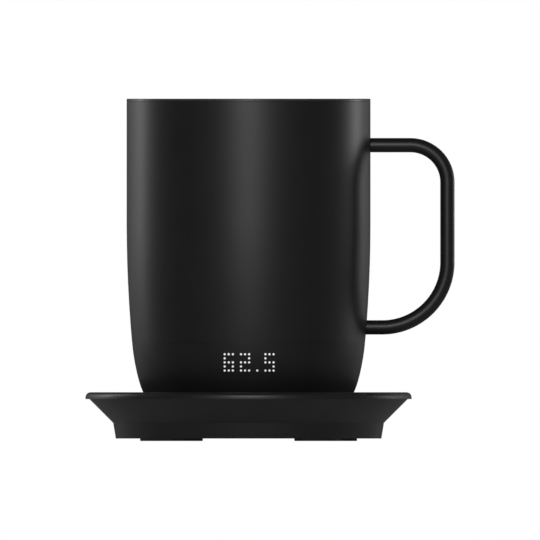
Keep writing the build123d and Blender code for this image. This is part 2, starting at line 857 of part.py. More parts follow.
# Felt disc between the heater and the battery, notched at the front for the wires
with BuildPart() as insulation_disc:
    with BuildSketch(ground.offset(insulation_top - insulation_disc_thickness)):
        Circle(insulation_disc_radius)
        with Locations((0, -notch_start_y - insulation_disc_radius / 2)):
            Rectangle(floor_notch_width, insulation_disc_radius, mode=Mode.SUBTRACT)
    extrude(amount=insulation_disc_thickness)
insulation_disc.part.label = "insulation_disc"
export_step(insulation_disc.part, "parts/insulation_disc.step")

# Fixing ring: lies on the shell's flange and takes the screws that hold the base on
with BuildPart() as fixing_ring:
    with BuildSketch(ground.offset(flange_top)):
        Circle(wall_at(flange_top, shell_wall) - ring_edge_gap)
        Circle(flange_inner_radius, mode=Mode.SUBTRACT)
    extrude(amount=ring_thickness)
    with BuildSketch(ground.offset(flange_top)):
        with Locations(*base_screw_points):
            Circle(ring_boss_radius)
    extrude(amount=ring_boss_height)
    with BuildSketch(ground.offset(flange_top)):
        with Locations(*base_screw_points):
            Circle(base_screw_radius + bond_gap)
    extrude(amount=ring_boss_height, mode=Mode.SUBTRACT)
fixing_ring.part.label = "fixing_ring"
export_step(fixing_ring.part, "parts/fixing_ring.step")

# Seam gasket in its groove, between the shell's flange and the base shell
gasket_bottom = shell_base_top - gasket_groove_depth
with BuildPart() as seam_gasket:
    with BuildSketch(ground.offset(gasket_bottom)):
        Circle(gasket_outer_radius)
        Circle(gasket_inner_radius, mode=Mode.SUBTRACT)
    extrude(amount=shell_bottom - gasket_bottom)
seam_gasket.part.label = "seam_gasket"
export_step(seam_gasket.part, "parts/seam_gasket.step")

# MUG: PLASTIC BASE

# Base shell: carries on the mug's outline, with a ledge at the top and a shoulder below
shoulder_top = cover_top + shoulder_thickness
with BuildPart() as base_shell:
    with BuildSketch(section):
        with BuildLine():
            draw_wall(base_underside, shell_base_top)
            draw_wall(shoulder_top, ledge_bottom, base_wall)
            Polyline(
                (wall_at(shell_base_top), shell_base_top),
                (gasket_outer_radius + bond_gap, shell_base_top),
                (gasket_outer_radius + bond_gap, gasket_bottom),
                (gasket_inner_radius - bond_gap, gasket_bottom),
                (gasket_inner_radius - bond_gap, shell_base_top),
                (flange_inner_radius, shell_base_top),
                (flange_inner_radius, ledge_bottom),
                (wall_at(ledge_bottom, base_wall), ledge_bottom),
            )
            Polyline(
                (wall_at(shoulder_top, base_wall), shoulder_top),
                (cover_radius - shoulder_width, shoulder_top),
                (cover_radius - shoulder_width, cover_top),
                (cover_radius + running_gap, cover_top),
                (cover_radius + running_gap, base_underside),
                (wall_at(base_underside), base_underside),
            )
        make_face()
    revolve(axis=mug_axis)
    with BuildSketch(ground.offset(ledge_bottom)):
        with Locations(*base_screw_points):
            Circle(base_screw_radius + running_gap)
    extrude(amount=ledge_thickness, mode=Mode.SUBTRACT)
    with BuildSketch(section):
        with Locations(*dot_points):
            Circle(dot_diameter / 2 + dot_side_gap)
    extrude(amount=wall_radius, mode=Mode.SUBTRACT)
base_shell.part.label = "base_shell"
export_step(base_shell.part, "parts/base_shell.step")

# Chassis: a tray for the three cells, hung from a plate that is clamped under the ledge
cell_offsets = [(step - (cell_count - 1) / 2) * cell_pitch for step in range(cell_count)]
cell_points = [(offset, cell_centre_height) for offset in cell_offsets]
pack_half_length = cell_length / 2 + cell_nub_height + tab_thickness + loose_gap
tail_x = cell_length / 2 + cell_nub_height + tab_thickness / 2
pack_half_width = (cell_count - 1) / 2 * cell_pitch + cell_radius + loose_gap
with BuildPart() as chassis:
    with BuildSketch(ground.offset(chassis_floor_bottom)):
        Circle(seam_radius - chassis_floor_inset)
    extrude(amount=chassis_floor_thickness)
    with BuildSketch(ground.offset(chassis_top_bottom)):
        Circle(seam_radius - chassis_plate_inset)
        Rectangle(2 * pack_half_length, 2 * pack_half_width, mode=Mode.SUBTRACT)
    extrude(amount=chassis_top_thickness)
    with BuildSketch(ground.offset(chassis_floor_bottom)):
        for side in (-1, 1):
            with Locations((side * (pack_half_length + chassis_wall / 2), 0)):
                Rectangle(chassis_wall, 2 * pack_half_width)
    extrude(amount=ledge_bottom - chassis_floor_bottom)
    with BuildSketch(ground.offset(cover_top)):
        with Locations(*cover_screw_points):
            Circle(chassis_post_radius)
    extrude(amount=chassis_floor_bottom - cover_top)
    with BuildSketch(ground.offset(board_top)):
        with Locations(*board_screw_points):
            Circle(board_screw_boss_radius)
    extrude(amount=chassis_floor_gap)
    with BuildSketch(across):
        with Locations(*cell_points):
            Circle(cell_radius + bond_gap)
    extrude(amount=cell_length / 2 + cell_nub_height, both=True, mode=Mode.SUBTRACT)
    with BuildSketch(ground.offset(chassis_floor_bottom)):
        with Locations((0, -notch_start_y - seam_radius / 2)):
            Rectangle(floor_notch_width, seam_radius)
    extrude(amount=chassis_floor_thickness, mode=Mode.SUBTRACT)
    with BuildSketch(ground.offset(chassis_top_bottom)):
        with Locations((0, -notch_start_y - seam_radius / 2)):
            Rectangle(notch_width, seam_radius)
    extrude(amount=chassis_top_thickness, mode=Mode.SUBTRACT)
    with BuildSketch(ground.offset(chassis_top_bottom)):
        with Locations(*base_screw_points):
            Circle(base_screw_radius + running_gap)
    extrude(amount=chassis_top_thickness, mode=Mode.SUBTRACT)
    with BuildSketch(ground.offset(chassis_floor_bottom)):
        with Locations(*[(side * tail_x, tail_y) for side in (-1, 1)]):
            Rectangle(tab_thickness + 2 * loose_gap, tail_width + 2 * loose_gap)
    extrude(amount=chassis_floor_thickness, mode=Mode.SUBTRACT)
    with BuildSketch(ground.offset(cover_top)):
        with Locations(*cover_screw_points):
            Circle(cover_screw_radius + bond_gap)
    extrude(amount=cover_screw_end + running_gap - cover_top, mode=Mode.SUBTRACT)
    with BuildSketch(ground.offset(board_top)):
        with Locations(*board_screw_points):
            Circle(board_screw_radius + bond_gap)
    extrude(amount=board_screw_length - board_thickness, mode=Mode.SUBTRACT)
    add(fill_outline(cover_top, ledge_bottom, base_wall + loose_gap), mode=Mode.INTERSECT)
chassis.part.label = "chassis"
export_step(chassis.part, "parts/chassis.step")

# Screws that hold the chassis and the base shell up to the fixing ring
base_screws = make_screws(
    base_screw_points,
    chassis_top_bottom - base_screw_head_height,
    base_screw_head_radius,
    base_screw_head_height,
    base_screw_radius,
    flange_top + ring_boss_height - chassis_top_bottom,
)
base_screws.part.label = "base_screws"
export_step(base_screws.part, "parts/base_screws.step")

# Three round cells side by side, each with the small button of its plus end
for number, point in enumerate(cell_points, start=1):
    plus_side = -1 if number % 2 else 1
    with BuildPart() as cell:
        with BuildSketch(across.offset(-cell_length / 2)):
            with Locations(point):
                Circle(cell_radius)
        extrude(amount=cell_length)
        with BuildSketch(across.offset(plus_side * cell_length / 2)):
            with Locations(point):
                Circle(cell_nub_radius)
        extrude(amount=plus_side * cell_nub_height)
    cell.part.label = f"battery_cell_{number}"
    export_step(cell.part, f"parts/battery_cell_{number}.step")

# Nickel strips across the ends of the cells, each with a tail folded on to the main board
strip_length = (cell_count - 1) * cell_pitch + tab_width
with BuildPart() as battery_strips:
    for side in (-1, 1):
        with BuildSketch(across.offset(side * (cell_length / 2 + cell_nub_height))):
            with Locations((0, cell_centre_height)):
                RectangleRounded(strip_length, tab_width, tab_width / 3)
            with Locations((tail_y, (cell_centre_height + board_top) / 2)):
                Rectangle(tail_width, cell_centre_height - board_top)
        extrude(amount=side * tab_thickness)
        with BuildSketch(ground.offset(board_top)):
            with Locations((side * (tail_x + tail_end_x) / 2, tail_y)):
                Rectangle(tail_x - tail_end_x, tail_width)
        extrude(amount=tab_thickness)
battery_strips.part.label = "battery_strips"
export_step(battery_strips.part, "parts/battery_strips.step")

# Main board under the chassis, with the chips on its lower side
with BuildPart() as main_board:
    with BuildSketch(ground.offset(board_bottom)):
        Circle(board_radius)
        with Locations(*board_screw_points):
            Circle(board_screw_radius + running_gap, mode=Mode.SUBTRACT)
    extrude(amount=board_thickness)
main_board.part.label = "main_board"
export_step(main_board.part, "parts/main_board.step")

with BuildPart() as main_board_chips:
    with BuildSketch(ground.offset(board_bottom - chip_height)):
        with Locations(*chip_points):
            Rectangle(chip_size, chip_size)
    extrude(amount=chip_height)
main_board_chips.part.label = "main_board_chips"
export_step(main_board_chips.part, "parts/main_board_chips.step")

main_board_screws = make_screws(
    board_screw_points,
    board_bottom - board_screw_head_height,
    board_screw_head_radius,
    board_screw_head_height,
    board_screw_radius,
    board_screw_length,
)
main_board_screws.part.label = "main_board_screws"
export_step(main_board_screws.part, "parts/main_board_screws.step")

# Base cover: closes the mug from below, with a recess for the contacts and a foot groove
with BuildPart() as base_cover:
    with BuildSketch(ground.offset(base_underside)):
        Circle(cover_radius)
    extrude(amount=cover_thickness)
    with BuildSketch(ground.offset(cover_top)):
        Circle(cover_radius)
        Circle(cover_radius - cover_seal_width, mode=Mode.SUBTRACT)
    extrude(amount=-cover_seal_height, mode=Mode.SUBTRACT)
    with BuildSketch(ground.offset(base_underside)):
        Circle(cover_radius - cover_recess_inset)
    extrude(amount=cover_recess_depth, mode=Mode.SUBTRACT)
    with BuildSketch(ground.offset(base_underside)):
        Circle(foot_ring_outer_radius)
        Circle(foot_ring_inner_radius, mode=Mode.SUBTRACT)
    extrude(amount=foot_ring_groove_depth, mode=Mode.SUBTRACT)
    with BuildSketch(ground.offset(contact_face)):
        Circle(contact_disc_radius + bond_gap)
        Circle(contact_ring_outer_radius + bond_gap)
        Circle(contact_ring_inner_radius - bond_gap, mode=Mode.SUBTRACT)
        Circle(contact_disc_radius + bond_gap)
    extrude(amount=contact_thickness, mode=Mode.SUBTRACT)
    with BuildSketch(ground.offset(contact_face)):
        with Locations((0, 0), *ring_stem_points):
            Circle(contact_stem_radius + bond_gap)
        with Locations((-button_offset, 0)):
            Circle(button_radius + button_side_gap)
    extrude(amount=cover_thickness, mode=Mode.SUBTRACT)
    with BuildSketch(ground.offset(foot_groove_top)):
        with Locations(*cover_screw_points):
            Circle(cover_screw_head_radius + running_gap)
    extrude(amount=cover_screw_head_height, mode=Mode.SUBTRACT)
    with BuildSketch(ground.offset(foot_groove_top)):
        with Locations(*cover_screw_points):
            Circle(cover_screw_radius + running_gap)
    extrude(amount=cover_thickness, mode=Mode.SUBTRACT)
base_cover.part.label = "base_cover"
export_step(base_cover.part, "parts/base_cover.step")

base_cover_screws = make_screws(
    cover_screw_points,
    foot_groove_top,
    cover_screw_head_radius,
    cover_screw_head_height,
    cover_screw_radius,
    cover_screw_length,
)
base_cover_screws.part.label = "base_cover_screws"
export_step(base_cover_screws.part, "parts/base_cover_screws.step")

with BuildPart() as cover_seal:
    with BuildSketch(ground.offset(cover_top - cover_seal_height)):
        Circle(cover_radius)
        Circle(cover_radius - cover_seal_width + bond_gap, mode=Mode.SUBTRACT)
    extrude(amount=cover_seal_height)
cover_seal.part.label = "cover_seal"
export_step(cover_seal.part, "parts/cover_seal.step")

# Soft ring that the mug stands on; it also hides the cover's screws
with BuildPart() as foot_ring:
    with BuildSketch(ground.offset(mug_bottom)):
        Circle(foot_ring_outer_radius - bond_gap)
        Circle(foot_ring_inner_radius + bond_gap, mode=Mode.SUBTRACT)
    extrude(amount=foot_groove_top - mug_bottom)
    fillet(foot_ring.edges().group_by(Axis.Z)[0], radius=foot_ring_edge_round)
foot_ring.part.label = "foot_ring"
export_step(foot_ring.part, "parts/foot_ring.step")

# Gilded contacts: a disc and a ring, with stems that reach the board
with BuildPart() as contact_disc:
    with BuildSketch(ground.offset(contact_face)):
        Circle(contact_disc_radius)
    extrude(amount=contact_thickness)
    with BuildSketch(ground.offset(contact_face)):
        Circle(contact_stem_radius)
    extrude(amount=board_bottom - contact_face)
contact_disc.part.label = "contact_disc"
export_step(contact_disc.part, "parts/contact_disc.step")

with BuildPart() as contact_ring:
    with BuildSketch(ground.offset(contact_face)):
        Circle(contact_ring_outer_radius)
        Circle(contact_ring_inner_radius, mode=Mode.SUBTRACT)
    extrude(amount=contact_thickness)
    with BuildSketch(ground.offset(contact_face)):
        with Locations(*ring_stem_points):
            Circle(contact_stem_radius)
    extrude(amount=board_bottom - contact_face)
contact_ring.part.label = "contact_ring"
export_step(contact_ring.part, "parts/contact_ring.step")

# Power button: pressed up from below; its flange keeps it in the cover
with BuildPart() as power_button:
    with BuildSketch(ground.offset(contact_face)):
        with Locations((-button_offset, 0)):
            Circle(button_radius)
    extrude(amount=cover_top - contact_face)
    fillet(power_button.edges().group_by(Axis.Z)[0], radius=button_edge_round)
    with BuildSketch(ground.offset(cover_top)):
        with Locations((-button_offset, 0)):
            Circle(button_flange_radius)
    extrude(amount=button_flange_thickness)
power_button.part.label = "power_button"
export_step(power_button.part, "parts/power_button.step")

with BuildPart() as button_switch:
    with BuildSketch(ground.offset(board_bottom)):
        with Locations((-button_offset, 0)):
            Rectangle(switch_size, switch_size)
    extrude(amount=-switch_body_height)
    with BuildSketch(ground.offset(board_bottom - switch_body_height)):
        with Locations((-button_offset, 0)):
            Circle(switch_nub_radius)
    extrude(amount=-switch_nub_height)
button_switch.part.label = "button_switch"
export_step(button_switch.part, "parts/button_switch.step")

# MUG: DISPLAY

# Light guide: a clear block that fits the inside of the shell, with one thin pipe through
# the wall for each lit dot, and two stakes that carry the display's board
board_front_y = display_board_y + display_board_thickness
guide_back_y = board_front_y + led_height + bond_gap
stake_points = [(side * stake_offset, display_centre) for side in (-1, 1)]
with BuildPart() as light_guide:
    with BuildSketch(section.offset(guide_back_y)):
        with Locations((0, display_centre)):
            RectangleRounded(guide_width, guide_block_height, stake_radius)
    extrude(amount=wall_radius - guide_back_y)
    add(fill_outline(cover_top, ledge_bottom, base_wall + bond_gap), mode=Mode.INTERSECT)
    with BuildSketch(section.offset(guide_back_y)):
        with Locations(*dot_points):
            Circle(dot_diameter / 2)
    extrude(amount=wall_radius - guide_back_y)
    add(mug_volume, mode=Mode.INTERSECT)
    with BuildSketch(section.offset(guide_back_y)):
        with Locations(*stake_points):
            Circle(stake_radius)
    extrude(amount=-(guide_back_y - display_board_y + stake_stand_out))
light_guide.part.label = "light_guide"
export_step(light_guide.part, "parts/light_guide.step")

with BuildPart() as display_board:
    with BuildSketch(section.offset(display_board_y)):
        with Locations((0, display_centre)):
            Rectangle(display_board_width, display_board_height)
        with Locations(*stake_points):
            Circle(stake_radius + bond_gap, mode=Mode.SUBTRACT)
    extrude(amount=display_board_thickness)
display_board.part.label = "display_board"
export_step(display_board.part, "parts/display_board.step")

with BuildPart() as display_leds:
    with BuildSketch(section.offset(board_front_y)):
        with Locations(*dot_points):
            Rectangle(led_size, led_size)
    extrude(amount=led_height)
display_leds.part.label = "display_leds"
export_step(display_leds.part, "parts/display_leds.step")

# Flat ribbon from the display board down through the chassis to the main board
ribbon_y = display_board_y - ribbon_thickness / 2
ribbon_low = board_top + ribbon_thickness / 2
with BuildPart() as display_ribbon:
    with BuildLine(across) as ribbon_path:
        FilletPolyline(
            (-ribbon_y, display_centre - ribbon_top_drop + display_board_height / 2),
            (-ribbon_y, ribbon_low),
            (-ribbon_end_y, ribbon_low),
            radius=ribbon_bend,
        )
    with BuildSketch(Plane(ribbon_path.line @ 0, x_dir=(1, 0, 0), z_dir=ribbon_path.line % 0)):
        Rectangle(ribbon_width, ribbon_thickness)
    sweep(path=ribbon_path.line)
display_ribbon.part.label = "display_ribbon"
export_step(display_ribbon.part, "parts/display_ribbon.step")

# Two insulated wires from the heating film to the main board
lead_top = heater_bottom - lead_radius
lead_low = board_top + lead_radius
with BuildPart() as heater_leads:
    for side in (-1, 1):
        lead_plane = across.offset(side * lead_spacing / 2)
        with BuildLine(lead_plane) as lead_path:
            FilletPolyline(
                (-lead_start_y, lead_top),
                (-lead_drop_y, lead_top),
                (-lead_drop_y, lead_low),
                (-lead_end_y, lead_low),
                radius=lead_bend,
            )
        with BuildSketch(Plane(lead_path.line @ 0, z_dir=lead_path.line % 0)):
            Circle(lead_radius)
        sweep(path=lead_path.line)
heater_leads.part.label = "heater_leads"
export_step(heater_leads.part, "parts/heater_leads.step")
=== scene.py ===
from math import cos, pi, radians, sin

import bmesh
import bpy
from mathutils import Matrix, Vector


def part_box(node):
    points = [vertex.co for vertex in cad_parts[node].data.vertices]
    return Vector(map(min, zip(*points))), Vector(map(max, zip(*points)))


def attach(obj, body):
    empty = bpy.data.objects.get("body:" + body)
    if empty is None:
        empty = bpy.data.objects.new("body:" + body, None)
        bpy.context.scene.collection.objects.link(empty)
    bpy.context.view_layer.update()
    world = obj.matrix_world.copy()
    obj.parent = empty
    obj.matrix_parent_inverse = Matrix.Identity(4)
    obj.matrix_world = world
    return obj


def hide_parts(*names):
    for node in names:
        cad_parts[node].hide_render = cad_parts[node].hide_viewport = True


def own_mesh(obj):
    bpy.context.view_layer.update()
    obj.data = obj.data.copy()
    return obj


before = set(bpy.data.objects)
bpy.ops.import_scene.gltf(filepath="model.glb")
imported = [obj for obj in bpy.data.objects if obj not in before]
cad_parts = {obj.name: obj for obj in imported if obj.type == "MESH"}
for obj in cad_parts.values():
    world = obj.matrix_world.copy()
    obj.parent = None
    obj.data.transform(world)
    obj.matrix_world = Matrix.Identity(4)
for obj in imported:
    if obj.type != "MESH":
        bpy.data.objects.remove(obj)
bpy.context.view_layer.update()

# A self-heating mug on its charging coaster.  Metres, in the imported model's frame: the table is
# at height zero, the handle points to +X and the display faces -Y.

scene = bpy.context.scene
scene.view_settings.view_transform = "Standard"

millimetre = 0.001
white = (1, 1, 1, 1)
tray_low, tray_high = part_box("coaster_tray")
axis_x = (tray_low.x + tray_high.x) / 2

# Camera: level with the mug and far away, so it sees the mug without perspective
camera_height = 0.0596
camera_distance = 1.2
view_width = 0.1882
camera_data = bpy.data.cameras.new("camera")
camera_data.type = "ORTHO"
camera_data.ortho_scale = view_width
camera = bpy.data.objects.new("camera", camera_data)
camera.location = (0, -camera_distance, camera_height)
camera.rotation_euler = (pi / 2, 0, 0)
scene.collection.objects.link(camera)
scene.camera = camera


# NODES

def add_node(tree, kind, **settings):
    """A new node; each setting names one of its inputs, or else one of its properties."""
    node = tree.nodes.new(kind)
    for key, value in settings.items():
        if key in node.inputs:
            node.inputs[key].default_value = value
        else:
            setattr(node, key, value)
    return node


def calculate(tree, operation, *values):
    """A math node's output; each value is a number or another node's output."""
    node = add_node(tree, "ShaderNodeMath", operation=operation)
    for index, value in enumerate(values):
        if isinstance(value, (int, float)):
            node.inputs[index].default_value = value
        else:
            tree.links.new(value, node.inputs[index])
    return node.outputs[0]


def remap(tree, source, start, end, low, high, curve="LINEAR"):
    """A number that goes from low to high as the source goes from start to end."""
    node = add_node(tree, "ShaderNodeMapRange", interpolation_type=curve)
    node.inputs["From Min"].default_value = start
    node.inputs["From Max"].default_value = end
    node.inputs["To Min"].default_value = low
    node.inputs["To Max"].default_value = high
    tree.links.new(source, node.inputs["Value"])
    return node.outputs["Result"]


def soft_step(tree, source, start, end, low, high):
    return remap(tree, source, start, end, low, high, curve="SMOOTHSTEP")


def mix(tree, share, first, second):
    """The first shader where share is 0 and the second where it is 1."""
    node = add_node(tree, "ShaderNodeMixShader")
    for index, value in enumerate((share, first, second)):
        tree.links.new(value, node.inputs[index])
    return node.outputs[0]


# STUDIO

def make_floor(name, half_width, colour, roughness, specular):
    """A plain square floor at height zero, which isn't part of the object."""
    squares = 4
    mesh = bpy.data.meshes.new(name)
    work = bmesh.new()
    bmesh.ops.create_grid(work, x_segments=squares, y_segments=squares, size=half_width)
    work.to_mesh(mesh)
    work.free()
    floor = bpy.data.objects.new(name, mesh)
    scene.collection.objects.link(floor)
    material = bpy.data.materials.new(name)
    material.use_nodes = True
    shader = material.node_tree.nodes["Principled BSDF"]
    shader.inputs["Base Color"].default_value = (*colour, 1)
    shader.inputs["Roughness"].default_value = roughness
    shader.inputs["Specular IOR Level"].default_value = specular
    mesh.materials.append(material)
    # Some of the lights reach lower than the floor, so it must not stand in their way.
    floor.visible_glossy = False
    floor.visible_shadow = False


def make_softbox(name, azimuth, distance, width, low, full, high, radiance):
    """An upright panel light on one side of the mug.

    Azimuth 0 is the camera's side and 90 the handle's.  Sideways it fades from its middle to
    both edges, and upwards it grows from nothing at low to its whole brightness at full.
    """
    data = bpy.data.lights.new(name, "AREA")
    data.shape = "RECTANGLE"
    data.size = width
    data.size_y = high - low
    data.energy = radiance * pi * width * (high - low)
    data.use_nodes = True
    tree = data.node_tree
    spot = add_node(tree, "ShaderNodeNewGeometry")
    sides = add_node(tree, "ShaderNodeSeparateXYZ")
    tree.links.new(spot.outputs["Parametric"], sides.inputs[0])
    middle = 0.5
    aside = calculate(tree, "ABSOLUTE", calculate(tree, "SUBTRACT", sides.outputs["X"], middle))
    across = soft_step(tree, aside, start=middle, end=0.0, low=0.0, high=1.0)
    rise = (full - low) / (high - low)
    upward = soft_step(tree, sides.outputs["Y"], start=0.0, end=rise, low=0.0, high=1.0)
    strength = calculate(tree, "MULTIPLY", across, upward)
    tree.links.new(strength, tree.nodes["Emission"].inputs["Strength"])
    lamp = bpy.data.objects.new(name, data)
    angle = radians(azimuth)
    lamp.location = (axis_x + distance * sin(angle), -distance * cos(angle), (low + high) / 2)
    lamp.rotation_euler = (pi / 2, 0, angle)
    lamp.visible_camera = False
    scene.collection.objects.link(lamp)


make_floor("floor", half_width=3.0, colour=(0.86, 0.86, 0.86), roughness=0.9, specular=0.1)
make_softbox(
    "front_softbox", azimuth=-0.5, distance=0.8, width=0.46,
    low=0.11, full=0.20, high=0.48, radiance=10.2,
)
make_softbox(
    "left_softbox", azimuth=-120.5, distance=0.7, width=0.22,
    low=-0.03, full=0.15, high=0.50, radiance=6.5,
)
make_softbox(
    "right_softbox", azimuth=119.7, distance=0.7, width=0.12,
    low=0.03, full=0.09, high=0.19, radiance=16.4,
)
make_softbox(
    "left_rim", azimuth=-142, distance=0.7, width=0.36,
    low=-0.15, full=0.05, high=0.50, radiance=0.42,
)
make_softbox(
    "right_rim", azimuth=144, distance=0.7, width=0.30,
    low=-0.15, full=0.05, high=0.70, radiance=0.50,
)

world = bpy.data.worlds.new("studio")
scene.world = world
world.use_nodes = True
tree = world.node_tree
tree.nodes.clear()
rays = add_node(tree, "ShaderNodeLightPath").outputs
direction = add_node(tree, "ShaderNodeTexCoord")
parts = add_node(tree, "ShaderNodeSeparateXYZ")
tree.links.new(direction.outputs["Generated"], parts.inputs[0])

# The object mirrors a dim room, lighter below the table's height and white straight behind.
around = soft_step(tree, parts.outputs["Z"], start=0.45, end=0.75, low=0.045, high=0.03)
below = soft_step(tree, parts.outputs["Z"], start=-0.04, end=-0.32, low=0.0, high=0.115)
behind = soft_step(tree, parts.outputs["Y"], start=0.98, end=0.998, low=0.0, high=0.8)
level = calculate(tree, "ADD", calculate(tree, "ADD", around, below), behind)
mirrored = add_node(tree, "ShaderNodeBackground", Color=white)
tree.links.new(level, mirrored.inputs["Strength"])

# The camera sees plain white, and every other ray gathers soft light from all sides.
seen = add_node(tree, "ShaderNodeBackground", Color=white, Strength=1.0)
ambient = add_node(tree, "ShaderNodeBackground", Color=white, Strength=0.8)
gloss = calculate(tree, "MAXIMUM", rays["Is Glossy Ray"], rays["Is Transmission Ray"])
unseen = mix(tree, gloss, ambient.outputs[0], mirrored.outputs[0])
output = add_node(tree, "ShaderNodeOutputWorld")
choice = mix(tree, rays["Is Camera Ray"], unseen, seen.outputs[0])
tree.links.new(choice, output.inputs["Surface"])


# MATERIALS

class Surface:
    """One procedural material, built up from patterns that are measured in metres."""

    def __init__(self, name, metallic=0.0, specular=0.5):
        self.material = bpy.data.materials.new(name)
        self.material.use_nodes = True
        self.tree = self.material.node_tree
        self.shader = self.tree.nodes["Principled BSDF"]
        self.shader.inputs["Metallic"].default_value = metallic
        self.shader.inputs["Specular IOR Level"].default_value = specular
        self.place = add_node(self.tree, "ShaderNodeTexCoord").outputs["Object"]
        self.normal = None

    def link(self, source, target):
        self.tree.links.new(source, target)

    def calculate(self, operation, *values):
        return calculate(self.tree, operation, *values)

    def sides(self):
        """The place's X, Y and Z."""
        node = add_node(self.tree, "ShaderNodeSeparateXYZ")
        self.link(self.place, node.inputs[0])
        return node.outputs

    def length(self, first, second):
        """The distance that two sides at right angles make."""
        first_square = self.calculate("MULTIPLY", first, first)
        second_square = self.calculate("MULTIPLY", second, second)
        return self.calculate("SQRT", self.calculate("ADD", first_square, second_square))

    def scaled(self, size, stretch=(1, 1, 1)):
        """The place, counted in steps of size metres."""
        mapping = add_node(self.tree, "ShaderNodeMapping")
        mapping.inputs["Scale"].default_value = [factor / size for factor in stretch]
        self.link(self.place, mapping.inputs["Vector"])
        return mapping.outputs[0]

    def noise(self, size, detail=2.0, stretch=(1, 1, 1)):
        """Noise with lumps about size metres across."""
        node = add_node(self.tree, "ShaderNodeTexNoise", Scale=1.0, Detail=detail)
        self.link(self.scaled(size, stretch), node.inputs["Vector"])
        return node.outputs["Fac"]

    def rings(self, size):
        """Fine turned rings about the mug's axis, about size metres apart."""
        sides = self.sides()
        radius = self.length(self.calculate("SUBTRACT", sides["X"], axis_x), sides["Y"])
        node = add_node(self.tree, "ShaderNodeTexNoise", noise_dimensions="1D", Scale=1.0)
        self.link(self.calculate("DIVIDE", radius, size), node.inputs["W"])
        return node.outputs["Fac"]

    def cells(self, size, distance="EUCLIDEAN"):
        """A number from each cell's middle to its edge, for cells size metres apart."""
        node = add_node(self.tree, "ShaderNodeTexVoronoi", distance=distance, Scale=1.0)
        self.link(self.scaled(size), node.inputs["Vector"])
        return node.outputs["Distance"]

    def spread(self, source, low, high, start=0.3, end=0.7):
        """Low to high over the usual reach of a noise, or from start to end."""
        return remap(self.tree, source, start, end, low, high)

    def colour(self, source, dark, light, start=0.3, end=0.7):
        ramp = add_node(self.tree, "ShaderNodeValToRGB")
        ramp.color_ramp.elements[0].position = start
        ramp.color_ramp.elements[1].position = end
        ramp.color_ramp.elements[0].color = (*dark, 1)
        ramp.color_ramp.elements[1].color = (*light, 1)
        self.link(source, ramp.inputs["Fac"])
        self.link(ramp.outputs["Color"], self.shader.inputs["Base Color"])

    def roughness(self, source, low, high):
        self.link(self.spread(source, low, high), self.shader.inputs["Roughness"])

    def bump(self, source, depth):
        """Raises the surface by up to depth metres, on top of any bump there already."""
        node = add_node(self.tree, "ShaderNodeBump", Strength=1.0, Distance=depth)
        self.link(source, node.inputs["Height"])
        if self.normal is not None:
            self.link(self.normal, node.inputs["Normal"])
        self.normal = node.outputs["Normal"]
        self.link(self.normal, self.shader.inputs["Normal"])


def grey(level):
    return (level, level, level)


def painted(name, dark, light, smooth, rough, peel, grain):
    """A dark satin finish: faint cloudiness, soft orange peel and a fine powdery grain."""
    cloud_size = 12 * millimetre
    sheen_size = 0.6 * millimetre
    peel_size = 1.3 * millimetre
    grain_size = 0.16 * millimetre
    surface = Surface(name)
    surface.colour(surface.noise(cloud_size, detail=3.0), grey(dark), grey(light))
    surface.roughness(surface.noise(sheen_size, detail=4.0), smooth, rough)
    surface.bump(surface.noise(peel_size, detail=1.0), peel)
    surface.bump(surface.noise(grain_size), grain)
    return surface.material


def metal(name, dark, light, smooth, rough, grain, scratch, stretch):
    """Bare metal, with a drawn grain and slight differences in tone."""
    surface = Surface(name, metallic=1.0)
    surface.colour(surface.noise(grain, 3.0, stretch), dark, light)
    surface.roughness(surface.noise(2 * grain, 4.0, stretch), smooth, rough)
    surface.bump(surface.noise(grain, 2.0, stretch), scratch)
    return surface.material


def coated(name, dark, light, smooth, rough, lump, depth):
    """A plain coloured plastic or resin with a slightly uneven skin."""
    surface = Surface(name)
    surface.colour(surface.noise(4 * lump, detail=3.0), dark, light)
    surface.roughness(surface.noise(lump, detail=4.0), smooth, rough)
    surface.bump(surface.noise(lump), depth)
    return surface.material


def turned_gold():
    """Gold plate over turned rings, dulled a little in places."""
    blotch_size = 1.5 * millimetre
    ring_pitch = 0.12 * millimetre
    ring_depth = 0.004 * millimetre
    dull_gold = (0.68, 0.45, 0.16)
    bright_gold = (0.86, 0.62, 0.27)
    surface = Surface("contact_gold", metallic=1.0)
    surface.colour(surface.noise(blotch_size, detail=4.0), dull_gold, bright_gold)
    surface.roughness(surface.rings(ring_pitch), low=0.20, high=0.34)
    surface.bump(surface.rings(ring_pitch), ring_depth)
    return surface.material


def shrink_wrap():
    """Blue shrink film, tight over a cell and a little creased along it."""
    crease_size = 1.6 * millimetre
    crease_depth = 0.03 * millimetre
    cloud_size = 5 * millimetre
    along_cell = (0.12, 1, 1)
    dark_blue = (0.012, 0.045, 0.16)
    light_blue = (0.025, 0.075, 0.24)
    surface = Surface("cell_wrap")
    creases = surface.noise(crease_size, 3.0, along_cell)
    surface.colour(surface.noise(cloud_size, detail=3.0), dark_blue, light_blue)
    surface.roughness(creases, low=0.24, high=0.38)
    surface.bump(creases, crease_depth)
    return surface.material


def solder_mask():
    """Green lacquer over copper tracks, which show as lighter raised lines."""
    track_pitch = 1.1 * millimetre
    track_height = 0.03 * millimetre
    gloss_size = 0.4 * millimetre
    dark_green = (0.006, 0.060, 0.022)
    light_green = (0.014, 0.105, 0.042)
    surface = Surface("board_green")
    tracks = surface.cells(track_pitch, "MANHATTAN")
    surface.colour(tracks, dark_green, light_green, start=0.52, end=0.58)
    surface.roughness(surface.noise(gloss_size, detail=3.0), low=0.30, high=0.42)
    surface.bump(surface.spread(tracks, 0.0, 1.0, start=0.50, end=0.60), track_height)
    return surface.material


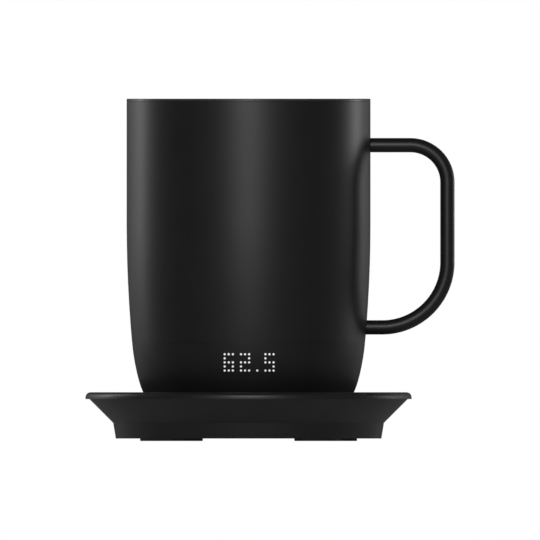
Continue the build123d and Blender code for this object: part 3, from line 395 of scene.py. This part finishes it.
def heating_film():
    """Amber film with the dark line of a heating track wound to and fro in it."""
    band_size = 8 * millimetre
    band_height = 0.02 * millimetre
    gloss_size = 0.8 * millimetre
    dark_amber = (0.13, 0.045, 0.008)
    light_amber = (0.46, 0.19, 0.035)
    surface = Surface("heater_film", specular=0.55)
    track = add_node(surface.tree, "ShaderNodeTexWave", Scale=1.0, Distortion=0.6)
    track.bands_direction = "Z"
    surface.link(surface.scaled(band_size), track.inputs["Vector"])
    surface.colour(track.outputs["Fac"], dark_amber, light_amber, start=0.40, end=0.55)
    surface.roughness(surface.noise(gloss_size, detail=3.0), low=0.16, high=0.28)
    surface.bump(track.outputs["Fac"], band_height)
    return surface.material


def felt():
    """Matted grey fibres."""
    fibre_size = 0.35 * millimetre
    fibre_height = 0.18 * millimetre
    sheen = 0.35
    surface = Surface("felt_grey", specular=0.2)
    fibres = surface.noise(fibre_size, detail=6.0)
    surface.colour(fibres, grey(0.20), grey(0.42))
    surface.roughness(fibres, low=0.88, high=1.0)
    surface.bump(fibres, fibre_height)
    surface.shader.inputs["Sheen Weight"].default_value = sheen
    return surface.material


def light_pipe():
    """Frosted clear plastic, lit from behind: each dot is brightest in its middle."""
    cloud_size = 0.3 * millimetre
    frost_size = 0.1 * millimetre
    half_pitch = 0.5
    warm_white = (1.0, 0.98, 0.94, 1)
    middle_glow = 0.50
    edge_glow = 0.06
    surface = Surface("light_pipe")
    surface.colour(surface.noise(cloud_size), grey(0.50), grey(0.62))
    surface.roughness(surface.noise(frost_size, detail=3.0), low=0.30, high=0.45)
    sides = surface.sides()
    # The place counted in dots from the middle of the reading, sideways and upwards
    right = surface.calculate("SUBTRACT", sides["X"], display_x)
    up = surface.calculate("SUBTRACT", sides["Z"], display_height)
    column = surface.calculate("DIVIDE", right, dot_pitch)
    row = surface.calculate("DIVIDE", up, dot_pitch)
    aside = surface.calculate("PINGPONG", column, half_pitch)
    above = surface.calculate("PINGPONG", row, half_pitch)
    off_dot = surface.length(aside, above)
    glow = surface.spread(off_dot, middle_glow, edge_glow, start=0.07, end=0.26)
    surface.shader.inputs["Emission Color"].default_value = warm_white
    surface.link(glow, surface.shader.inputs["Emission Strength"])
    return surface.material


def feet_rubber_painted_reflection():
    """Dark grey moulded rubber with a matt skin, painted a little paler than the seals: the extra
    paleness is a painted reflection of the white floor on the feet.
    """
    cloud_size = 1.2 * millimetre
    sheen_size = 0.3 * millimetre
    grain_size = 0.12 * millimetre
    grain_height = 0.006 * millimetre
    surface = Surface("feet_rubber_painted_reflection", specular=0.4)
    # Painted reflection: this grey sits above the seals' rubber to stand in for the white floor
    # mirrored in the feet's faces.
    surface.colour(surface.noise(cloud_size, detail=3.0), grey(0.070), grey(0.095))
    surface.roughness(surface.noise(sheen_size, detail=3.0), low=0.62, high=0.74)
    surface.bump(surface.noise(grain_size, detail=3.0), grain_height)
    return surface.material


dot_pitch = 1.42 * millimetre
display_shift = 0.2 * millimetre
display_low, display_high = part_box("light_guide")
display_x = axis_x + display_shift
display_height = (display_low.z + display_high.z) / 2

satin = {"dark": 0.0038, "light": 0.0050, "smooth": 0.40, "rough": 0.44}
dish_satin = {"dark": 0.0050, "light": 0.0065, "smooth": 0.38, "rough": 0.43}
cup_satin = {"dark": 0.0140, "light": 0.0190, "smooth": 0.30, "rough": 0.40}
cover_matt = {"dark": 0.0060, "light": 0.0080, "smooth": 0.45, "rough": 0.55}
chassis_matt = {"dark": 0.08, "light": 0.10, "smooth": 0.45, "rough": 0.55}
seal_matt = {"dark": 0.030, "light": 0.042, "smooth": 0.70, "rough": 0.80}
sprayed = {"peel": 0.001 * millimetre, "grain": 0.0005 * millimetre}
thick_coat = {"peel": 0.003 * millimetre, "grain": 0.002 * millimetre}
moulded = {"peel": 0.002 * millimetre, "grain": 0.003 * millimetre}
rubbery = {"peel": 0.004 * millimetre, "grain": 0.005 * millimetre}

finishes = {
    "shell_black": painted("shell_black", **satin, **sprayed),
    "handle_black": painted("handle_black", **satin, **sprayed),
    "base_black": painted("base_black", **satin, **sprayed),
    "coaster_black": painted("coaster_black", **dish_satin, **sprayed),
    "cup_coating": painted("cup_coating", **cup_satin, **thick_coat),
    "cover_black": painted("cover_black", **cover_matt, **moulded),
    "chassis_grey": painted("chassis_grey", **chassis_matt, **moulded),
    "rubber_black": painted("rubber_black", **seal_matt, **rubbery),
    "light_pipe": light_pipe(),
    "contact_gold": turned_gold(),
    "cell_wrap": shrink_wrap(),
    "board_green": solder_mask(),
    "heater_film": heating_film(),
    "felt_grey": felt(),
    "led_white": coated(
        "led_white", (0.80, 0.78, 0.62), (0.90, 0.88, 0.74), smooth=0.20, rough=0.32,
        lump=0.2 * millimetre, depth=0.005 * millimetre,
    ),
    "chip_black": coated(
        "chip_black", grey(0.008), grey(0.014), smooth=0.48, rough=0.60,
        lump=0.08 * millimetre, depth=0.006 * millimetre,
    ),
    "sensor_bead": coated(
        "sensor_bead", grey(0.006), grey(0.012), smooth=0.12, rough=0.22,
        lump=0.5 * millimetre, depth=0.03 * millimetre,
    ),
    "wire_red": coated(
        "wire_red", (0.20, 0.008, 0.008), (0.32, 0.018, 0.014), smooth=0.34, rough=0.46,
        lump=0.4 * millimetre, depth=0.01 * millimetre,
    ),
    "bright_steel": metal(
        "bright_steel", grey(0.48), grey(0.62), smooth=0.22, rough=0.36,
        grain=0.25 * millimetre, scratch=0.004 * millimetre, stretch=(1, 1, 0.2),
    ),
    "nickel": metal(
        "nickel", (0.50, 0.47, 0.42), (0.66, 0.63, 0.57), smooth=0.26, rough=0.40,
        grain=0.3 * millimetre, scratch=0.004 * millimetre, stretch=(0.2, 1, 1),
    ),
}


# PIECES

def join_rings(work, rings):
    """Quads from each ring of points to the next."""
    for ring, following in zip(rings, rings[1:]):
        for index in range(len(ring)):
            after = (index + 1) % len(ring)
            work.faces.new((ring[index], following[index], following[after], ring[after]))


def make_object(name, work, finish):
    """An object of one finish, from the mesh that was worked on."""
    bmesh.ops.recalc_face_normals(work, faces=work.faces)
    mesh = bpy.data.meshes.new(name)
    work.to_mesh(mesh)
    work.free()
    mesh.materials.append(finishes[finish])
    made = bpy.data.objects.new(name, mesh)
    scene.collection.objects.link(made)
    return made


def make_seam_bead():
    """The sealant line between the steel wall and the base, just below flush with both."""
    set_back = 0.08 * millimetre
    hollow_depth = 0.02 * millimetre
    thickness = 0.9 * millimetre
    steps = 360
    base_low, base_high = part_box("base_shell")
    shell_low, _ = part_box("outer_shell")
    outer = (base_high.x - base_low.x) / 2 - set_back
    hollow = outer - hollow_depth
    inner = outer - thickness
    middle = (base_high.z + shell_low.z) / 2
    profile = [
        (inner, base_high.z),
        (outer, base_high.z),
        (hollow, middle),
        (outer, shell_low.z),
        (inner, shell_low.z),
    ]
    work = bmesh.new()
    rings = []
    for step in range(steps):
        angle = 2 * pi * step / steps
        ring = []
        for radius, height in profile:
            spot = (axis_x + radius * cos(angle), radius * sin(angle), height)
            ring.append(work.verts.new(spot))
        rings.append(ring)
    join_rings(work, rings + rings[:1])
    bead = make_object("seam_bead", work, "base_black")
    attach(bead, "mug")


def make_pin_spring(name, node):
    """A coil spring under a charging pin, at one fixed length."""
    wire = 0.12 * millimetre
    turns = 6
    steps = 32
    sides = 12
    low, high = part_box(node)
    middle_x = (low.x + high.x) / 2
    middle_y = (low.y + high.y) / 2
    coil = (high.x - low.x) / 2 - wire
    climb = (high.z - low.z - 2 * wire) / (turns * steps)
    work = bmesh.new()
    rings = []
    for step in range(turns * steps + 1):
        turned = 2 * pi * step / steps
        ring = []
        for side in range(sides):
            about = 2 * pi * side / sides
            reach = coil + wire * cos(about)
            x = middle_x + reach * cos(turned)
            y = middle_y + reach * sin(turned)
            z = low.z + wire + climb * step + wire * sin(about)
            ring.append(work.verts.new((x, y, z)))
        rings.append(ring)
    join_rings(work, rings)
    for face in work.faces:
        face.smooth = True
    work.faces.new(rings[0])
    work.faces.new(reversed(rings[-1]))
    spring = make_object(name, work, "bright_steel")
    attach(spring, "coaster")
    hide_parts(node)
    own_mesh(spring)


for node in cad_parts.values():
    for place in node.material_slots:
        place.material = finishes[place.material.name]
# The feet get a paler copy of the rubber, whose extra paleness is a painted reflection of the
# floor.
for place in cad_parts["rubber_feet"].material_slots:
    place.material = feet_rubber_painted_reflection()
make_seam_bead()
make_pin_spring("centre_spring", "centre_pin_spring")
make_pin_spring("ring_spring", "ring_pin_spring")
